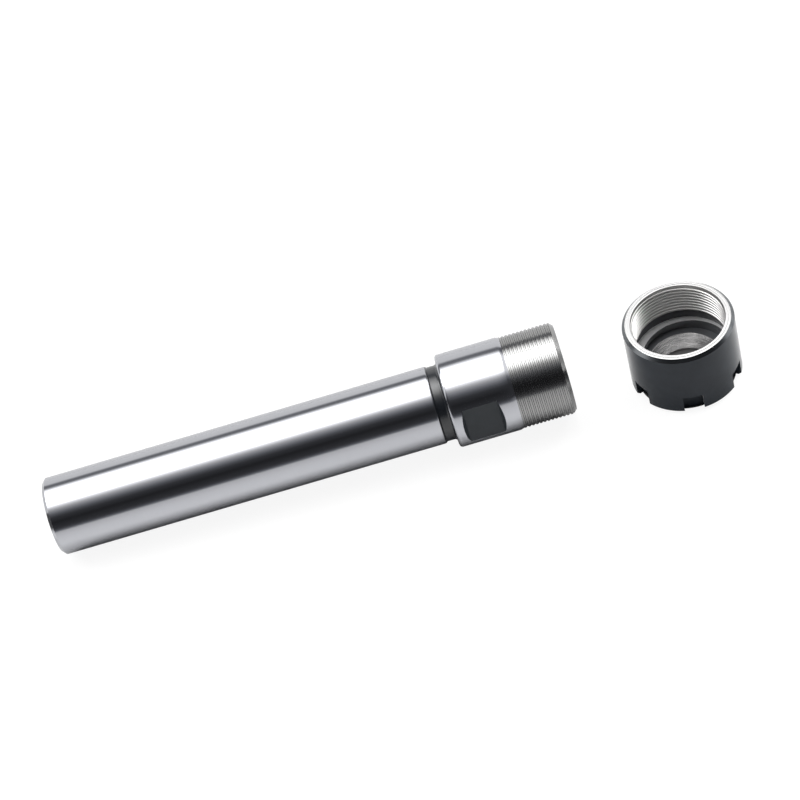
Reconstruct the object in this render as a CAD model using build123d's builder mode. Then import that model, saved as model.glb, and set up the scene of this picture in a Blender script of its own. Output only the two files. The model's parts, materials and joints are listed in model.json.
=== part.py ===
# Straight-shank collet chuck holder, with its clamping nut taken off and stood beside it.
# The holder lies on the edge of its collar and the rear edge of its shank.
# The nut stands on its slotted face. Sizes are in millimetres, +Z is up, the floor is z = 0.
from build123d import *
from math import atan2, cos, degrees, radians, sin, tan
import os

# Ground shank
shank_diameter = 20.0
shank_length = 100.0
rear_chamfer = 0.8
shank_end_fillet = 0.8

# Relief neck between shank and collar
neck_depth = 0.4
neck_length = 3.0
neck_root_fillet = 0.9

# Collet seat and the bore behind it
taper_mouth_diameter = 20.0
taper_half_angle = 8.0
mouth_chamfer = 0.3
bore_diameter = 13.5
bore_rear_chamfer = 0.8

# Thread zone round the mouth of the seat, M24 x 1, drawn at its crests
front_wall = 2.0
crest_flat = 0.2
thread_length = 13.8
thread_front_chamfer = 1.0

# Collar with two spanner flats
collar_step = 0.2
collar_length = 16.8
collar_edge_fillet = 0.8
collar_front_run = 1.0
collar_front_drop = 0.3
flat_depth = 1.25
flat_floor_length = 8.8
flat_from_collar_rear = 7.6
flat_end_slope = 34.0
cutter_clearance = 1.0

# Clamping nut and its thread bore
nut_wall = 2.0
nut_height = 19.0
nut_rim_chamfer = 0.8
nut_base_chamfer = 0.8
internal_thread_depth = 0.54
lead_step = 0.1
lead_depth = 1.1

# Inside of the nut below its thread, heights measured up from the slotted face
thread_end = 9.9
thread_end_chamfer = 0.4
undercut_depth = 0.4
lip_top = 7.1
lip_thickness = 1.3
lip_root_step = 0.2
lip_projection = 0.5
lip_offset = 1.0
lip_direction = -36.0
groove_step = 0.3
seat_ledge = 4.0
seat_ledge_chamfer = 0.4
seat_half_angle = 30.0
nose_hole_diameter = 15.0
nose_hole_length = 0.7
nose_hole_chamfer = 0.3

# Spanner slots in the nut's front face
slot_count = 6
slot_width = 5.0
slot_height = 5.4
slot_depth = 2.0
slot_azimuth = -96.0

# How the two pieces lie
lie_angle = 4.0
stand_off = 15.7
nut_side_offset = 0.97

shank_radius = shank_diameter / 2
neck_radius = shank_radius - neck_depth
bore_radius = bore_diameter / 2
mouth_radius = taper_mouth_diameter / 2
thread_radius = mouth_radius + front_wall
crest_radius = thread_radius - crest_flat
collar_radius = crest_radius + collar_step
nut_radius = thread_radius + nut_wall

collar_start = shank_length + neck_length
collar_end = collar_start + collar_length
body_length = collar_end + thread_length
taper_length = (mouth_radius - bore_radius) / tan(radians(taper_half_angle))

# The holder touches the floor at the end of the rear chamfer and at the collar's rear edge
rear_contact = rear_chamfer
collar_contact = collar_start + collar_edge_fillet
tilt = degrees(atan2(collar_radius - shank_radius, collar_contact - rear_contact))
axis_height = shank_radius * cos(radians(tilt)) - rear_contact * sin(radians(tilt))

# The row's origin is the middle of the whole footprint, on the floor
rear_reach = -(shank_radius - rear_chamfer) * sin(radians(tilt))
nut_from_rear = body_length * cos(radians(tilt)) + stand_off + nut_radius
middle = (rear_reach + nut_from_rear + nut_radius) / 2
nut_x = nut_from_rear - middle

axis_direction = Vector(1, 0, 0).rotate(Axis.Y, -tilt)
flat_normal = Vector(0, -1, 0).rotate(Axis((0, 0, 0), axis_direction), -lie_angle)
holder_plane = Plane(
    origin=(-middle, nut_side_offset, axis_height),
    x_dir=axis_direction,
    z_dir=axis_direction.cross(flat_normal),
)
holder_axis = Axis(holder_plane.origin, axis_direction)

# Chuck body, turned in one piece: x runs along its axis from the rear face, y is the radius
with BuildPart() as chuck_body:
    with BuildSketch(holder_plane) as body_section:
        with BuildLine():
            Polyline(
                (0, bore_radius + bore_rear_chamfer),
                (0, shank_radius - rear_chamfer),
                (rear_chamfer, shank_radius),
                (shank_length, shank_radius),
                (shank_length + shank_radius - neck_radius, neck_radius),
                (collar_start, neck_radius),
                (collar_start, collar_radius),
                (collar_end - collar_front_run, collar_radius),
                (collar_end, collar_radius - collar_front_drop),
                (collar_end, crest_radius),
                (body_length - thread_front_chamfer, crest_radius),
                (body_length, crest_radius - thread_front_chamfer),
                (body_length, mouth_radius + mouth_chamfer),
                (body_length - mouth_chamfer, mouth_radius),
                (body_length - mouth_chamfer - taper_length, bore_radius),
                (bore_rear_chamfer, bore_radius),
                close=True,
            )
        make_face()
        shank_end = (shank_length, shank_radius)
        collar_foot = (collar_start, neck_radius)
        collar_rim = (collar_start, collar_radius)
        end_fillet = min(shank_end_fillet, 2 * neck_depth)
        root_fillet = min(neck_root_fillet, collar_radius - neck_radius - 2 * collar_edge_fillet)
        fillet(body_section.vertices().sort_by_distance(shank_end)[0], end_fillet)
        fillet(body_section.vertices().sort_by_distance(collar_foot)[0], root_fillet)
        fillet(body_section.vertices().sort_by_distance(collar_rim)[0], collar_edge_fillet)
    revolve(axis=holder_axis)

    # Two opposite flats with sloping ends, milled into the collar
    flat_height = collar_radius - flat_depth
    cut_top = collar_radius + cutter_clearance
    slope_run = (cut_top - flat_height) * tan(radians(flat_end_slope))
    flat_start = collar_start + flat_from_collar_rear - flat_floor_length / 2
    flat_end = flat_start + flat_floor_length
    with BuildSketch(holder_plane):
        with BuildLine():
            Polyline(
                (flat_start, flat_height),
                (flat_start - slope_run, cut_top),
                (flat_end + slope_run, cut_top),
                (flat_end, flat_height),
                close=True,
            )
        make_face()
        mirror(about=Plane.XZ)
    extrude(amount=collar_radius, both=True, mode=Mode.SUBTRACT)

chuck_body.part.label = "chuck_body"

# Clamping nut, turned in one piece and then slotted: x is the radius, y the height
nut_plane = Plane(origin=(nut_x, 0, 0), x_dir=(1, 0, 0), z_dir=(0, -1, 0))
nut_axis = Axis((nut_x, 0, 0), (0, 0, 1))
lead_radius = thread_radius + lead_step
thread_bore_radius = thread_radius - internal_thread_depth
undercut_radius = thread_radius + undercut_depth
lip_root_radius = thread_radius - lip_root_step
lip_radius = lip_root_radius - lip_projection
groove_radius = lip_root_radius - groove_step
nose_radius = nose_hole_diameter / 2
lip_bottom = lip_top - lip_thickness
seat_top = seat_ledge - seat_ledge_chamfer
seat_radius = nose_radius + (seat_top - nose_hole_length) * tan(radians(seat_half_angle))

with BuildPart() as clamping_nut:
    with BuildSketch(nut_plane):
        with BuildLine():
            Polyline(
                (nose_radius + nose_hole_chamfer, 0),
                (nut_radius - nut_base_chamfer, 0),
                (nut_radius, nut_base_chamfer),
                (nut_radius, nut_height - nut_rim_chamfer),
                (nut_radius - nut_rim_chamfer, nut_height),
                (lead_radius, nut_height),
                (thread_bore_radius, nut_height - lead_depth),
                (thread_bore_radius, thread_end + thread_end_chamfer),
                (undercut_radius, thread_end),
                (undercut_radius, lip_top),
                (lip_root_radius, lip_top),
                (lip_root_radius, lip_bottom),
                (groove_radius, lip_bottom),
                (groove_radius, seat_ledge),
                (seat_radius + seat_ledge_chamfer, seat_ledge),
                (seat_radius, seat_top),
                (nose_radius, nose_hole_length),
                (nose_radius, nose_hole_chamfer),
                close=True,
            )
        make_face()
    revolve(axis=nut_axis)

    # Eccentric lip that draws the collet out: its hole stands off the nut's axis
    with BuildSketch(Plane.XY.offset(lip_bottom)):
        with Locations((nut_x, 0)):
            Circle(lip_root_radius)
        with Locations(
            (
                nut_x + lip_offset * cos(radians(lip_direction)),
                lip_offset * sin(radians(lip_direction)),
            )
        ):
            Circle(lip_radius, mode=Mode.SUBTRACT)
    extrude(amount=lip_thickness)

    # Spanner slots round the front face
    slot_floor_radius = nut_radius - slot_depth
    with BuildSketch(Plane.XY):
        with Locations((nut_x, 0)):
            with PolarLocations(slot_floor_radius, slot_count, start_angle=slot_azimuth):
                Rectangle(nut_radius, slot_width, align=(Align.MIN, Align.CENTER))
    extrude(amount=slot_height, mode=Mode.SUBTRACT)

clamping_nut.part.label = "clamping_nut"

os.makedirs("parts", exist_ok=True)
export_step(chuck_body.part, "parts/chuck_body.step")
export_step(clamping_nut.part, "parts/clamping_nut.step")
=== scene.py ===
import json
from math import pi, radians, sin, sqrt, tan, tau
import bpy
from mathutils import Matrix, Quaternion, Vector


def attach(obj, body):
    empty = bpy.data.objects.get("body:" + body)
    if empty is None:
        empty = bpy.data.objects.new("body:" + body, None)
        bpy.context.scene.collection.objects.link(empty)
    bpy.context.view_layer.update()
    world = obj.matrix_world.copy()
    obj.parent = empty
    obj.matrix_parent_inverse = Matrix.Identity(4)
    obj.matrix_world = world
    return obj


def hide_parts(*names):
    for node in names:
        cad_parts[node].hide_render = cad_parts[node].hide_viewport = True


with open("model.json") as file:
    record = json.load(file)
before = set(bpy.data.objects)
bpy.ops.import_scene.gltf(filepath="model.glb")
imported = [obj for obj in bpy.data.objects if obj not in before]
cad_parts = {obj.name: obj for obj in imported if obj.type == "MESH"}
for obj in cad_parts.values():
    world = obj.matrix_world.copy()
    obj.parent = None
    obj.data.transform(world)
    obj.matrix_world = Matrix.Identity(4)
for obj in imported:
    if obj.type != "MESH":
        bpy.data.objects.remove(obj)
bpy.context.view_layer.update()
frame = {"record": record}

# A straight-shank collet chuck holder lying on a white table, its slotted clamping nut beside it.
# The dictionaries are in millimetres and degrees, the scene itself in metres.
mm = 0.001
mounts = {mount["name"]: mount for mount in frame["record"]["mounts"]}


def mountPlace(name):
    return Vector(mounts[name]["pos_m"])


def mountRadius(name):
    return mounts[name]["dims"]["r_mm"]


# How the two pieces lie, read from the frame
rearChamfer = 0.8
shankEndRun = 0.4
lieAngle = -4.0
holderAxis = -Vector(mounts["shank"]["axis"]).normalized()
gripLength = mounts["shank"]["dims"]["length_mm"]
shankLength = rearChamfer + gripLength + shankEndRun
rearCentre = mountPlace("shank") - holderAxis * (rearChamfer + gripLength / 2) * mm
flatNormal = Quaternion(holderAxis, radians(lieAngle)) @ Vector((0, -1, 0))
nutCentre = Vector((mountPlace("nut_thread").x, mountPlace("nut_thread").y, 0))


def standAlong(axis, side, origin):
    # local Z runs along the axis, local X points to the side that faces the front
    turned = Matrix((side, axis.cross(side), axis)).transposed()
    return Matrix.Translation(origin) @ turned.to_4x4()


holderStand = standAlong(holderAxis, flatNormal, rearCentre)
nutStand = Matrix.Translation(nutCentre)


# Camera
view = {
    "place": (21.07, -432.82, 468.31),
    "turn": -2.341,
    "lookDown": 46.107,
    "roll": -17.277,
    "lens": 113.4,
    "sensor": 36.0,
    "nearest": 0.01,  # metres
    "farthest": 100,
}


def addCamera():
    bpy.ops.object.camera_add()
    camera = bpy.context.object
    camera.name = "photoCamera"
    turn = Matrix.Rotation(radians(-view["turn"]), 4, "Z")
    tilt = Matrix.Rotation(radians(90 - view["lookDown"]), 4, "X")
    roll = Matrix.Rotation(radians(view["roll"]), 4, "Z")
    camera.matrix_world = Matrix.Translation(Vector(view["place"]) * mm) @ turn @ tilt @ roll
    camera.data.sensor_width = view["sensor"]
    camera.data.lens = view["lens"]
    camera.data.clip_start = view["nearest"]
    camera.data.clip_end = view["farthest"]
    bpy.context.scene.camera = camera
    bpy.context.scene.view_settings.view_transform = "Standard"


# Shader maths as plain expressions
class Signal:
    def __init__(self, maker, socket):
        self.maker = maker
        self.socket = socket

    def joined(self, operation, first, second):
        return self.maker.add("ShaderNodeMath", {"operation": operation}, {0: first, 1: second})

    def __add__(self, other):
        return self.joined("ADD", self, other)

    def __sub__(self, other):
        return self.joined("SUBTRACT", self, other)

    def __rsub__(self, other):
        return self.joined("SUBTRACT", other, self)

    def __mul__(self, other):
        return self.joined("MULTIPLY", self, other)

    def __truediv__(self, other):
        return self.joined("DIVIDE", self, other)

    def __rtruediv__(self, other):
        return self.joined("DIVIDE", other, self)

    def __pow__(self, other):
        return self.joined("POWER", self, other)

    def __lt__(self, other):
        return self.joined("LESS_THAN", self, other)

    __radd__ = __add__
    __rmul__ = __mul__


class Maker:
    def __init__(self, tree):
        self.tree = tree
        tree.nodes.clear()

    def add(self, kind, settings=None, inputs=None, output=0):
        node = self.tree.nodes.new(kind)
        for key, value in (settings or {}).items():
            if key == "stops":
                self.setStops(node.color_ramp, value)
            else:
                setattr(node, key, value)
        for key, value in (inputs or {}).items():
            if isinstance(value, Signal):
                self.tree.links.new(value.socket, node.inputs[key])
            else:
                node.inputs[key].default_value = value
        return Signal(self, node.outputs[output]) if node.outputs else None

    def setStops(self, ramp, stops):
        while len(ramp.elements) < len(stops):
            ramp.elements.new(1.0)
        for element, (place, grey) in zip(ramp.elements, stops):
            element.position = place
            element.color = (grey, grey, grey, 1)

    def parts(self, vector):
        node = self.tree.nodes.new("ShaderNodeSeparateXYZ")
        self.tree.links.new(vector.socket, node.inputs[0])
        return [Signal(self, socket) for socket in node.outputs]


white = (1, 1, 1, 1)


def smoothStep(maker, value, low, high):
    limits = {"Value": value, "From Min": low, "From Max": high}
    return maker.add("ShaderNodeMapRange", {"interpolation_type": "SMOOTHSTEP"}, limits)


# Studio: a softbox overhead that fades to the sides, two lamps aside, a pale backdrop and a dark front.
# A stop is an angle, which runs over the object from the front horizon, 0, to the back horizon, 180,
# and the light's strength there. A lamp is its direction, the cosine of its reach and its strength.
studio = {
    "brightest": 5.0,
    "middle": (
        (0, 0.45),
        (3, 0.2),
        (6, 0.1),
        (12, 0.045),
        (30, 0.022),
        (44, 0.05),
        (52, 0.13),
        (58, 0.26),
        (64, 0.44),
        (70, 0.76),
        (76, 1.5),
        (80, 2.6),
        (88, 3.6),
        (98, 5.0),
        (107, 5.0),
        (118, 3.4),
        (125, 2.5),
        (129, 2.0),
        (132, 1.5),
        (136, 0.75),
        (140, 0.25),
        (148, 0.18),
        (152, 0.45),
        (156, 0.8),
        (180, 0.86),
    ),
    "sides": (
        (0, 0.3),
        (12, 0.04),
        (44, 0.04),
        (56, 0.08),
        (66, 0.25),
        (76, 0.8),
        (82, 1.1),
        (122, 1.1),
        (132, 0.4),
        (138, 0.15),
        (150, 0.15),
        (156, 0.8),
        (180, 0.86),
    ),
    "sideStart": 0.2,
    "sideEnd": 0.32,
    "lamps": (
        ((0.747, 0.434, 0.505), 0.93, 7.0),
        ((-0.642, 0.257, 0.72), 0.95, 5.5),
    ),
    "lampEdge": 0.03,
    "coolTone": (0.94, 0.965, 1.05, 1),
    "coolBelow": 0.6,
}


def studioRamp(maker, angle, stops):
    even = [(degree / 180, light / studio["brightest"]) for degree, light in stops]
    return maker.add("ShaderNodeValToRGB", {"stops": even}, {0: angle / pi}) * studio["brightest"]


def lightStudio():
    world = bpy.data.worlds.new("studio")
    bpy.context.scene.world = world
    world.use_nodes = True
    maker = Maker(world.node_tree)
    x, y, z = maker.parts(maker.add("ShaderNodeTexCoord"))
    angle = maker.add("ShaderNodeMath", {"operation": "ARCTAN2"}, {0: z, 1: 0 - y})
    aside = smoothStep(maker, (x * x) ** 0.5, studio["sideStart"], studio["sideEnd"])
    middle = studioRamp(maker, angle, studio["middle"])
    sides = studioRamp(maker, angle, studio["sides"])
    light = middle * (1 - aside) + sides * aside
    for (lampX, lampY, lampZ), reach, strength in studio["lamps"]:
        towards = x * lampX + y * lampY + z * lampZ
        light = light + smoothStep(maker, towards, reach, reach + studio["lampEdge"]) * strength
    pale = smoothStep(maker, light, 0.0, studio["coolBelow"])
    tones = {0: pale, 6: studio["coolTone"], 7: white}  # sockets 6 and 7 are the two colours
    tone = maker.add("ShaderNodeMix", {"data_type": "RGBA"}, tones, 2)
    surroundings = maker.add("ShaderNodeBackground", None, {"Color": tone, "Strength": light})
    plain = maker.add("ShaderNodeBackground", None, {"Color": white, "Strength": 1.0})
    seen = maker.add("ShaderNodeLightPath", output="Is Camera Ray")
    mixed = maker.add("ShaderNodeMixShader", None, {0: seen, 1: surroundings, 2: plain})
    maker.add("ShaderNodeOutputWorld", None, {0: mixed})


# Table: white to the camera, by its own glow, with a faint trace of the object's shadow.
# What the steel mirrors is paper that darkens towards the front, behind the pieces, past the shank's end and
# inside the nut; inside the nut the darkening is painted shadow, which the camera sees there too.
table = {
    "reach": 30.0,  # metres
    "paper": 0.6,
    "darkPaper": 0.06,
    "glow": 0.9,
    "shadow": 0.14,
    "farStart": 20.0,
    "farPower": 0.6,
    "farMost": 0.48,
    "leftStart": 112.0,
    "leftEnd": 132.0,
    "leftWidth": 25.0,
    "leftFade": 50.0,
    "behindStart": 10.0,
    "behindEnd": 40.0,
    "behindMost": 0.2,
    # the next two set the painted shadow inside the nut's ring: its radius and how dark it gets
    "nutRadius": 12.5,
    "nutMost": 0.85,
}


def addTable():
    bpy.ops.mesh.primitive_plane_add(size=table["reach"])
    floor = bpy.context.object
    floor.name = "table"
    paper = bpy.data.materials.new("whitePaper")
    paper.use_nodes = True
    maker = Maker(paper.node_tree)

    def diffuse(grey):
        return maker.add("ShaderNodeBsdfDiffuse", None, {"Color": (grey, grey, grey, 1)})

    x, y = maker.parts(maker.add("ShaderNodeTexCoord", output="Object"))[:2]
    # painted shadow: inside the nut's ring the paper is darkened, for the camera as well as for reflections
    nutShadowMask = ((x - nutCentre.x) ** 2 + (y - nutCentre.y) ** 2) ** 0.5 < table["nutRadius"] * mm
    farStart = table["farStart"] * mm
    forward = maker.add("ShaderNodeMath", {"operation": "MAXIMUM"}, {0: 0 - y, 1: farStart})
    far = (1 - (farStart / forward) ** table["farPower"]) * table["farMost"]
    pastShank = smoothStep(maker, 0 - x, table["leftStart"] * mm, table["leftEnd"] * mm)
    offLine = smoothStep(maker, (y * y) ** 0.5, table["leftWidth"] * mm, table["leftFade"] * mm)
    behind = smoothStep(maker, y, table["behindStart"] * mm, table["behindEnd"] * mm)
    dark = far + pastShank * (1 - offLine) + behind * table["behindMost"] + nutShadowMask * table["nutMost"]
    shades = {0: dark, 1: diffuse(table["paper"]), 2: diffuse(table["darkPaper"])}
    mirrored = maker.add("ShaderNodeMixShader", None, shades)
    glow = maker.add("ShaderNodeEmission", None, {"Color": white, "Strength": table["glow"]})
    bright = maker.add("ShaderNodeAddShader", None, {0: glow, 1: diffuse(table["shadow"])})
    seen = maker.add("ShaderNodeLightPath", output="Is Camera Ray")
    mixed = maker.add("ShaderNodeMixShader", None, {0: seen * (1 - nutShadowMask), 1: mirrored, 2: bright})
    maker.add("ShaderNodeOutputMaterial", None, {0: mixed})
    floor.data.materials.append(paper)


# Finishes. Each reads Object coordinates turned onto the piece's own axis.
def turnedCoordinates(maker, stand):
    place = maker.add("ShaderNodeTexCoord", output="Object")
    return maker.add(
        "ShaderNodeMapping",
        {"vector_type": "TEXTURE"},
        {"Vector": place, "Location": stand.to_translation(), "Rotation": stand.to_euler()},
    )


def finishMaterial(name):
    material = bpy.data.materials.new(name)
    material.use_nodes = True
    return material, Maker(material.node_tree)


def closeMaterial(maker, sockets):
    shader = maker.add("ShaderNodeBsdfPrincipled", None, sockets)
    maker.add("ShaderNodeOutputMaterial", None, {0: shader})


def tinted(maker, pattern, darkest, lightest, colour):
    tint = maker.add("ShaderNodeMapRange", None, {"Value": pattern, "To Min": darkest, "To Max": lightest})
    red, green, blue = colour
    return maker.add("ShaderNodeCombineColor", None, {0: tint * red, 1: tint * green, 2: tint * blue})


def bumped(maker, pattern, strength, height):
    sockets = {"Strength": strength, "Distance": height * mm, "Height": pattern}
    return maker.add("ShaderNodeBump", None, sockets)


# Tool marks are fine lines round the axis, and round it on end faces too where facing is 1.
# Drift lets them wander round the piece, and detail is the noise's own.
grinding = {
    "facing": 0.0,
    "drift": 30.0,
    "detail": 3.0,
    "darkest": 0.95,
    "lightest": 1.03,
    "roughnessSpread": 0.06,
    "strength": 0.4,
}
turning = {
    "facing": 1.0,
    "drift": 25.0,
    "detail": 3.0,
    "darkest": 0.88,
    "lightest": 1.08,
    "roughnessSpread": 0.12,
    "strength": 0.5,
}


def markedSteel(name, stand, tool, colour, roughness, metal, linesPerMm, ridge):
    material, maker = finishMaterial(name)
    x, y, z = maker.parts(turnedCoordinates(maker, stand))
    radius = (x * x + y * y) ** 0.5
    along = (z + radius * tool["facing"]) * (linesPerMm / mm)
    wander = {0: x * tool["drift"], 1: y * tool["drift"], 2: along}
    lines = maker.add("ShaderNodeCombineXYZ", None, wander)
    noise = {"Vector": lines, "Scale": 1.0, "Detail": tool["detail"]}
    marks = maker.add("ShaderNodeTexNoise", None, noise)
    closeMaterial(
        maker,
        {
            "Base Color": tinted(maker, marks, tool["darkest"], tool["lightest"], colour),
            "Metallic": metal,
            "Roughness": marks * tool["roughnessSpread"] + roughness,
            "Normal": bumped(maker, marks, tool["strength"], ridge),
        },
    )
    return material


# Black oxide is a fine grain with faint clouds
oxide = {
    "grainPerMm": 9.0,
    "grainDetail": 2.0,
    "cloudPerMm": 0.25,
    "cloudDetail": 3.0,
    "darkest": 0.8,
    "lightest": 1.25,
    "roughnessSpread": 0.1,
    "strength": 0.5,
    "height": 0.006,
    "sheenRoughness": 0.25,
}


def blackOxide(name, stand, colour, gloss, roughness, sheen):
    material, maker = finishMaterial(name)
    place = turnedCoordinates(maker, stand)

    def noise(perMm, detail):
        sockets = {"Vector": place, "Scale": perMm / mm, "Detail": detail}
        return maker.add("ShaderNodeTexNoise", None, sockets)

    grain = noise(oxide["grainPerMm"], oxide["grainDetail"])
    cloud = noise(oxide["cloudPerMm"], oxide["cloudDetail"])
    closeMaterial(
        maker,
        {
            "Base Color": tinted(maker, cloud, oxide["darkest"], oxide["lightest"], colour),
            "Metallic": 0.0,
            "IOR": gloss,
            "Sheen Weight": sheen,
            "Sheen Roughness": oxide["sheenRoughness"],
            "Roughness": cloud * oxide["roughnessSpread"] + roughness,
            "Normal": bumped(maker, grain, oxide["strength"], oxide["height"]),
        },
    )
    return material


# Modelling by hand: sections are drawn point by point and spun, tools are carved with booleans
modelling = {
    "steps": 192,  # round a turned piece
    "weld": 0.0005,  # points nearer than this are one
    "sliver": 0.002,  # what a cut leaves is merged under this
    "degenerate": 0.001,
    "pinhole": 6,  # sides of the largest hole that is filled
    "crease": 24.0,
}


def deselectAll():
    for obj in list(bpy.context.selected_objects):
        obj.select_set(False)


def mergeDoubles(distance):
    bpy.ops.mesh.select_all(action="SELECT")
    bpy.ops.mesh.remove_doubles(threshold=distance * mm)
    bpy.ops.mesh.select_all(action="SELECT")


def closeShape():
    mergeDoubles(modelling["weld"])
    bpy.ops.mesh.normals_make_consistent(inside=False)
    bpy.ops.object.mode_set(mode="OBJECT")


def drawLine(name, points):
    # leaves the new line in edit mode
    deselectAll()
    bpy.ops.mesh.primitive_plane_add(size=mm)
    piece = bpy.context.object
    piece.name = name
    bpy.ops.object.mode_set(mode="EDIT")
    bpy.ops.mesh.select_all(action="SELECT")
    bpy.ops.mesh.merge(type="CENTER")
    radius, height = points[0]
    bpy.ops.transform.translate(value=(radius * mm, 0, height * mm))
    for nextRadius, nextHeight in points[1:]:
        step = ((nextRadius - radius) * mm, 0, (nextHeight - height) * mm)
        bpy.ops.mesh.extrude_vertices_move(TRANSFORM_OT_translate={"value": step})
        radius, height = nextRadius, nextHeight
    return piece


def turnPiece(name, section):
    # the section is a closed loop of (radius, height) round the wall
    piece = drawLine(name, section + section[:1])
    mergeDoubles(modelling["weld"])
    bpy.ops.mesh.spin(steps=modelling["steps"], angle=tau, center=(0, 0, 0), axis=(0, 0, 1))
    closeShape()
    return piece


def turnRing(name, inner, outer, low, high):
    return turnPiece(name, [(inner, low), (outer, low), (outer, high), (inner, high)])


def roundedCorner(before, corner, after, radius, steps=4):
    # points of the arc that rounds a corner of a section
    corner = Vector(corner)
    toBefore = (Vector(before) - corner).normalized()
    toAfter = (Vector(after) - corner).normalized()
    half = toBefore.angle(toAfter) / 2
    centre = corner + (toBefore + toAfter).normalized() * (radius / sin(half))
    start = corner + toBefore * (radius / tan(half)) - centre
    end = corner + toAfter * (radius / tan(half)) - centre
    turn = -start.angle_signed(end)
    return [tuple(centre + Matrix.Rotation(turn * step / steps, 2) @ start) for step in range(steps + 1)]


# The thread that the body and the nut share
thread = {"pitch": 1.0, "flankAngle": 30.0, "past": 0.05}  # past: how far its tools reach past the wall


def threadRod(name, rootRadius, crestRadius, crestFlat, bottom, top):
    # one tooth after another, swept once round while it climbs by one pitch
    pitch = thread["pitch"]
    flank = (crestRadius - rootRadius) * tan(radians(thread["flankAngle"]))
    rootFlat = pitch - crestFlat - 2 * flank
    points = []
    height = bottom - 2 * pitch
    while height < top + 2 * pitch:
        points += [
            (crestRadius, height),
            (crestRadius, height + crestFlat),
            (rootRadius, height + crestFlat + flank),
            (rootRadius, height + crestFlat + flank + rootFlat),
        ]
        height += pitch
    rod = drawLine(name, points)
    bpy.ops.object.mode_set(mode="OBJECT")
    screw = rod.modifiers.new("helix", "SCREW")
    screw.axis = "Z"
    screw.angle = tau
    screw.screw_offset = pitch * mm
    screw.steps = modelling["steps"]
    screw.render_steps = modelling["steps"]
    screw.use_merge_vertices = False
    bpy.ops.object.modifier_apply(modifier="helix")
    bpy.ops.object.mode_set(mode="EDIT")
    for height, keepAbove in ((bottom, True), (top, False)):
        mergeDoubles(modelling["weld"])
        bpy.ops.mesh.bisect(
            plane_co=(0, 0, height * mm),
            plane_no=(0, 0, 1),
            use_fill=True,
            clear_inner=keepAbove,
            clear_outer=not keepAbove,
        )
    closeShape()
    return rod


def carve(piece, tool, operation):
    deselectAll()
    bpy.context.view_layer.objects.active = piece
    cut = piece.modifiers.new("cut", "BOOLEAN")
    cut.operation = operation
    cut.solver = "EXACT"
    cut.object = tool
    bpy.ops.object.modifier_apply(modifier="cut")
    bpy.data.objects.remove(tool)
    closeSlivers()


def closeSlivers():
    # slivers that a cut leaves are merged away, the pinholes filled and loose edges deleted
    bpy.ops.object.mode_set(mode="EDIT")
    mergeDoubles(modelling["sliver"])
    bpy.ops.mesh.dissolve_degenerate(threshold=modelling["degenerate"] * mm)
    bpy.ops.mesh.select_all(action="SELECT")
    bpy.ops.mesh.fill_holes(sides=modelling["pinhole"])
    bpy.ops.mesh.select_all(action="SELECT")
    bpy.ops.mesh.delete_loose()
    bpy.ops.object.mode_set(mode="OBJECT")


def addBox(name, low, high, turn):
    # a box from its low corner to its high corner, turned round Z
    deselectAll()
    middle = [(a + b) / 2 * mm for a, b in zip(low, high)]
    size = [(b - a) * mm for a, b in zip(low, high)]
    bpy.ops.mesh.primitive_cube_add(size=1)
    box = bpy.context.object
    box.name = name
    turned = Matrix.Rotation(radians(turn), 4, "Z")
    box.data.transform(turned @ Matrix.Translation(middle) @ Matrix.Diagonal((*size, 1)))
    return box


def addPrism(name, outline, width):
    # an outline in the XZ plane, drawn out to both sides along Y
    prism = drawLine(name, outline + outline[:1])
    mergeDoubles(modelling["weld"])
    bpy.ops.mesh.edge_face_add()
    bpy.ops.mesh.extrude_region_move(TRANSFORM_OT_translate={"value": (0, width * mm, 0)})
    bpy.ops.mesh.select_all(action="SELECT")
    bpy.ops.transform.translate(value=(0, -width / 2 * mm, 0))
    closeShape()
    return prism


# How near to an edge or a wall, in millimetres, a face's middle still counts as on it
hair = 0.01
near = 0.1


def finishFaces(piece, finishes, chooseFinish):
    # each face gets the finish that its place and normal call for
    names = list(finishes)
    for name in names:
        piece.data.materials.append(finishes[name])
    for face in piece.data.polygons:
        centre = face.center / mm
        radius = sqrt(centre.x ** 2 + centre.y ** 2)
        face.material_index = names.index(chooseFinish(centre, radius, face.normal))


def placePiece(piece, stand):
    deselectAll()
    piece.select_set(True)
    bpy.context.view_layer.objects.active = piece
    bpy.ops.object.shade_smooth_by_angle(angle=radians(modelling["crease"]))
    piece.matrix_world = stand
    bpy.ops.object.transform_apply(location=True, rotation=True, scale=True)


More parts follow.
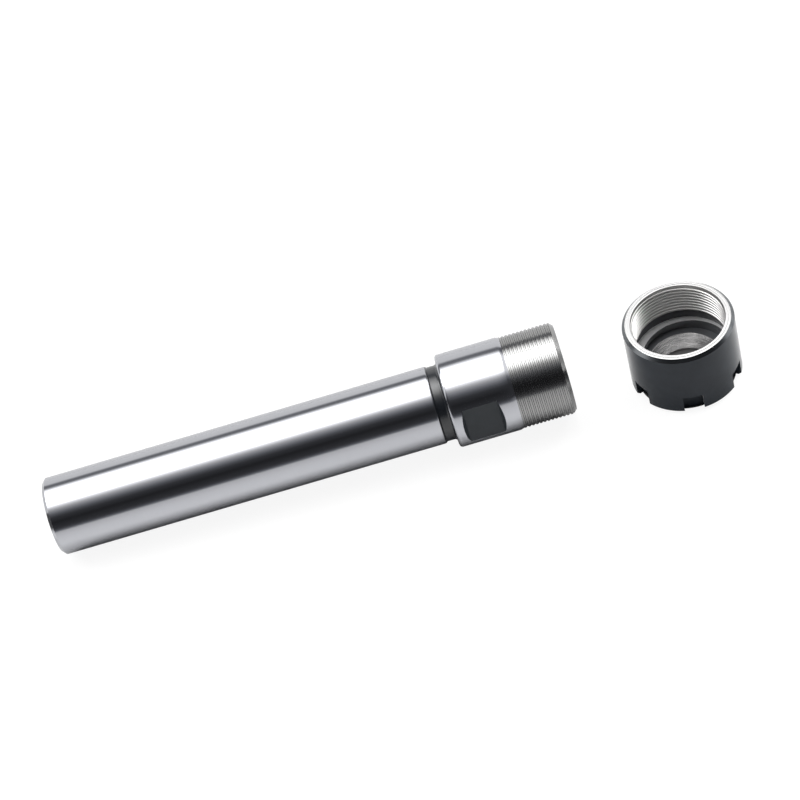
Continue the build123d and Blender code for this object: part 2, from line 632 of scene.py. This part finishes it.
# Chuck body
body = {
    "neckDepth": 0.4,
    "neckLength": 3.0,
    "neckFillet": 0.8,
    "neckFilletSteps": 6,
    "shankEndFillet": 0.8,
    "collarLength": 16.8,
    "collarEdge": 0.8,
    "collarFrontRun": 1.0,
    "collarFrontDrop": 0.3,
    "collarStep": 0.2,
    "flatDepth": 1.25,
    "flatLength": 8.8,
    "flatPlace": 7.6,
    "flatSlope": 34.0,
    "threadLength": 13.8,
    "threadChamfer": 1.0,
    "threadRunIn": 0.12,
    "threadDepth": 0.22,
    "threadCrest": 0.4,
    "mouthRadius": 10.0,
    "mouthChamfer": 0.3,
    "seatAngle": 8.0,
    "boreChamfer": 0.8,
    "cutterOver": 1.0,
    "dieHole": 9.0,
    "dieRadius": 16.0,
    "dieOver": 2.0,
    "darkOnCollar": 0.3,  # the neck's dark finish runs on over the foot of the collar
    "brightRim": 0.4,
    "ground": {
        "colour": (0.59, 0.597, 0.632),
        "roughness": 0.07,
        "metal": 1.0,
        "linesPerMm": 14.0,
        "ridge": 0.0006,
    },
    "turned": {
        "colour": (0.39, 0.39, 0.388),
        "roughness": 0.1,
        "metal": 1.0,
        "linesPerMm": 5.0,
        "ridge": 0.001,
    },
    "flat": {"colour": (0.024, 0.031, 0.038), "gloss": 1.45, "roughness": 0.36, "sheen": 0.0},
    "neck": {"colour": (0.011, 0.013, 0.017), "gloss": 1.76, "roughness": 0.18, "sheen": 0.0},
}


def buildChuckBody():
    shank = mountRadius("shank")
    bore = mountRadius("tool_bore")
    crest = mountRadius("body_thread")
    collar = crest + body["collarStep"]
    neck = shank - body["neckDepth"]
    collarStart = shankLength + body["neckLength"]
    collarEnd = collarStart + body["collarLength"]
    front = collarEnd + body["threadLength"]
    seatLength = (body["mouthRadius"] - bore) / tan(radians(body["seatAngle"]))
    foot = (neck, collarStart)
    shoulder = (collar, collarStart)
    section = [
        (bore + body["boreChamfer"], 0),
        (shank - rearChamfer, 0),
        (shank, rearChamfer),
    ]
    neckStart = (neck, shankLength + body["neckDepth"])
    section += roundedCorner(section[-1], (shank, shankLength), neckStart, body["shankEndFillet"])
    section.append(neckStart)
    section += roundedCorner(neckStart, foot, shoulder, body["neckFillet"], body["neckFilletSteps"])
    section += roundedCorner(foot, shoulder, (collar, collarEnd), body["collarEdge"])
    section += [
        (collar, collarEnd - body["collarFrontRun"]),
        (collar - body["collarFrontDrop"], collarEnd),
        (crest, collarEnd),
        (crest, front - body["threadChamfer"]),
        (crest - body["threadChamfer"], front),
        (body["mouthRadius"] + body["mouthChamfer"], front),
        (body["mouthRadius"], front - body["mouthChamfer"]),
        (bore, front - body["mouthChamfer"] - seatLength),
        (bore, body["boreChamfer"]),
    ]
    piece = turnPiece("chuckBody", section)

    # two flats with sloping ends
    floor = collar - body["flatDepth"]
    top = collar + body["cutterOver"]
    slope = (top - floor) * tan(radians(body["flatSlope"]))
    start = collarStart + body["flatPlace"] - body["flatLength"] / 2
    end = start + body["flatLength"]
    for side in (1, -1):
        outline = [
            (side * floor, start),
            (side * top, start - slope),
            (side * top, end + slope),
            (side * floor, end),
        ]
        carve(piece, addPrism("flatCutter", outline, 2 * collar), "DIFFERENCE")

    # a die with the thread in its hole cuts the front of the blank
    over = body["dieOver"]
    die = turnRing("die", body["dieHole"], body["dieRadius"], collarEnd + body["threadRunIn"], front + over)
    root = crest - body["threadDepth"]
    past = crest + thread["past"]
    rod = threadRod("rod", root, past, body["threadCrest"], collarEnd - over, front + 2 * over)
    carve(die, rod, "DIFFERENCE")
    carve(piece, die, "DIFFERENCE")

    def chooseFinish(centre, radius, normal):
        inCut = start - slope < centre.z < end + slope and radius < collar - hair
        facesSide = abs(normal.x) > 0.5  # the flats' sloping ends too
        if inCut and facesSide or radius < bore + near:
            return "flat"
        alongNeck = shankLength < centre.z < collarStart + body["darkOnCollar"]
        if alongNeck and radius < collar - body["brightRim"]:
            return "neck"
        if centre.z > collarEnd - hair and radius > body["mouthRadius"] + near:
            return "turned"
        return "ground"

    finishes = {
        "ground": markedSteel("groundSteel", holderStand, grinding, **body["ground"]),
        "turned": markedSteel("turnedThread", holderStand, turning, **body["turned"]),
        "flat": blackOxide("blackOxideFlat", holderStand, **body["flat"]),
        "neck": blackOxide("darkNeck", holderStand, **body["neck"]),
    }
    finishFaces(piece, finishes, chooseFinish)
    placePiece(piece, holderStand)
    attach(piece, "root")
    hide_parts("chuck_body")


# Clamping nut, heights measured up from its slotted face
nut = {
    "wall": 2.0,
    "height": 19.0,
    "rimChamfer": 0.8,
    "baseChamfer": 0.8,
    "leadStep": 0.44,
    "leadDepth": 1.1,
    "threadStep": 0.54,
    "threadDepth": 0.25,
    "threadCrest": 0.3,
    "threadEnd": 9.9,
    "threadChamfer": 0.4,
    "tapOver": 1.0,
    "undercutRadius": 12.4,
    "lipTop": 7.1,
    "lipThickness": 1.3,
    "lipRoot": 11.8,
    "lipRadius": 11.3,
    "lipOffset": 1.0,
    "lipDirection": -36.0,
    "lipSunk": 0.3,
    "lipSpare": 0.5,
    "grooveRadius": 11.5,
    "seatLedge": 4.0,
    "seatChamfer": 0.4,
    "seatAngle": 30.0,
    "noseRadius": 7.5,
    "noseLength": 0.7,
    "noseChamfer": 0.3,
    "slots": 6,
    "slotWidth": 5.0,
    "slotHeight": 5.4,
    "slotDepth": 2.0,
    "slotTurn": -96.0,
    "cutterOver": 1.0,
    "rim": {
        "colour": (0.8, 0.797, 0.792),
        "roughness": 0.16,
        "metal": 1.0,
        "linesPerMm": 3.0,
        "ridge": 0.12,
    },
    "thread": {
        "colour": (0.55, 0.545, 0.537),
        "roughness": 0.34,
        "metal": 0.9,
        "linesPerMm": 5.0,
        "ridge": 0.01,
    },
    "chamfer": {
        "colour": (0.2, 0.21, 0.22),
        "roughness": 0.12,
        "metal": 1.0,
        "linesPerMm": 3.0,
        "ridge": 0.03,
    },
    "lip": {
        "colour": (0.9, 0.9, 0.9),
        "roughness": 0.35,
        "metal": 0.45,
        "linesPerMm": 2.5,
        "ridge": 0.16,
    },
    "seat": {
        "colour": (0.68, 0.675, 0.675),
        "roughness": 0.2,
        "metal": 0.9,
        "linesPerMm": 3.0,
        "ridge": 0.22,
    },
    # the undercut's dark colour is painted shade, for the shade that falls under the thread's end
    "undercut": {"colour": (0.036, 0.039, 0.045), "gloss": 1.45, "roughness": 0.3, "sheen": 0.0},
    "groove": {"colour": (0.11, 0.114, 0.122), "gloss": 1.45, "roughness": 0.3, "sheen": 0.0},
    "outside": {"colour": (0.019, 0.025, 0.034), "gloss": 1.35, "roughness": 0.19, "sheen": 0.9},
}


def buildClampingNut():
    crest = mountRadius("nut_thread")
    nominal = crest + nut["threadStep"]
    outside = nominal + nut["wall"]
    height = nut["height"]
    lipTop = nut["lipTop"]
    lipBottom = lipTop - nut["lipThickness"]
    seatTop = nut["seatLedge"] - nut["seatChamfer"]
    seat = nut["noseRadius"] + (seatTop - nut["noseLength"]) * tan(radians(nut["seatAngle"]))
    section = [
        (nut["noseRadius"] + nut["noseChamfer"], 0),
        (outside - nut["baseChamfer"], 0),
        (outside, nut["baseChamfer"]),
        (outside, height - nut["rimChamfer"]),
        (outside - nut["rimChamfer"], height),
        (crest + nut["leadStep"], height),
        (crest, height - nut["leadDepth"]),
        (crest, nut["threadEnd"] + nut["threadChamfer"]),
        (nut["undercutRadius"], nut["threadEnd"]),
        (nut["undercutRadius"], lipTop),
        (nut["lipRoot"], lipTop),
        (nut["lipRoot"], lipBottom),
        (nut["grooveRadius"], lipBottom),
        (nut["grooveRadius"], nut["seatLedge"]),
        (seat + nut["seatChamfer"], nut["seatLedge"]),
        (seat, seatTop),
        (nut["noseRadius"], nut["noseLength"]),
        (nut["noseRadius"], nut["noseChamfer"]),
    ]
    piece = turnPiece("clampingNut", section)
    over = nut["cutterOver"]

    # the lip that draws the collet out is a ring with its hole off centre, sunk into the wall
    inner = nut["lipRadius"] - nut["lipOffset"] - nut["lipSpare"]
    low, high = lipBottom + hair, lipTop - hair
    lip = turnRing("lip", inner, nut["lipRoot"] + nut["lipSunk"], low, high)
    hole = turnRing("hole", 0, nut["lipRadius"], low - over, high + over)
    aside = Matrix.Rotation(radians(nut["lipDirection"]), 4, "Z") @ Vector((nut["lipOffset"] * mm, 0, 0))
    hole.data.transform(Matrix.Translation(aside))
    carve(lip, hole, "DIFFERENCE")
    carve(piece, lip, "UNION")

    # spanner slots round the front face
    floor = outside - nut["slotDepth"]
    half = nut["slotWidth"] / 2
    for index in range(nut["slots"]):
        turn = nut["slotTurn"] + 360 / nut["slots"] * index
        cutter = addBox("slotCutter", (floor, -half, -over), (outside + over, half, nut["slotHeight"]), turn)
        carve(piece, cutter, "DIFFERENCE")

    # a tap cuts the thread
    root = crest - thread["past"]
    tapCrest = crest + nut["threadDepth"]
    tapOver = nut["tapOver"]
    bottom, top = nut["threadEnd"] - tapOver, height + 2 * tapOver
    carve(piece, threadRod("tap", root, tapCrest, nut["threadCrest"], bottom, top), "DIFFERENCE")

    def chooseFinish(centre, radius, normal):
        if centre.z > height - hair:
            return "rim"
        if centre.z > height - nut["rimChamfer"] and radius > outside - nut["wall"] / 2:
            return "chamfer"
        if abs(centre.z - lipTop) < near and radius < nut["undercutRadius"] + near:
            return "lip"
        if hair < centre.z < nut["seatLedge"] + hair and radius < seat + nut["seatChamfer"]:
            return "seat"
        if centre.z > nut["threadEnd"] and radius < nut["undercutRadius"] - near:
            return "thread"
        if lipTop < centre.z < nut["threadEnd"] + near and radius < nut["undercutRadius"] + near:
            return "undercut"
        if nut["seatLedge"] - near < centre.z < lipTop and radius < nut["lipRoot"] + near:
            return "groove"
        return "outside"

    finishes = {
        "rim": markedSteel("turnedRim", nutStand, turning, **nut["rim"]),
        "thread": markedSteel("cutThread", nutStand, turning, **nut["thread"]),
        "chamfer": markedSteel("darkChamfer", nutStand, turning, **nut["chamfer"]),
        "lip": markedSteel("turnedLip", nutStand, turning, **nut["lip"]),
        "seat": markedSteel("turnedSeat", nutStand, turning, **nut["seat"]),
        # painted shade: the undercut gets a dark oxide colour for the shade under the thread's end
        "undercut": blackOxide("blackOxideUndercut", nutStand, **nut["undercut"]),
        "groove": blackOxide("blackOxideGroove", nutStand, **nut["groove"]),
        "outside": blackOxide("blackOxideNut", nutStand, **nut["outside"]),
    }
    finishFaces(piece, finishes, chooseFinish)
    placePiece(piece, nutStand)
    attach(piece, "root")
    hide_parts("clamping_nut")


print("studio and camera")
addCamera()
lightStudio()
addTable()
print("chuck body")
buildChuckBody()
print("clamping nut")
buildClampingNut()

print("done")
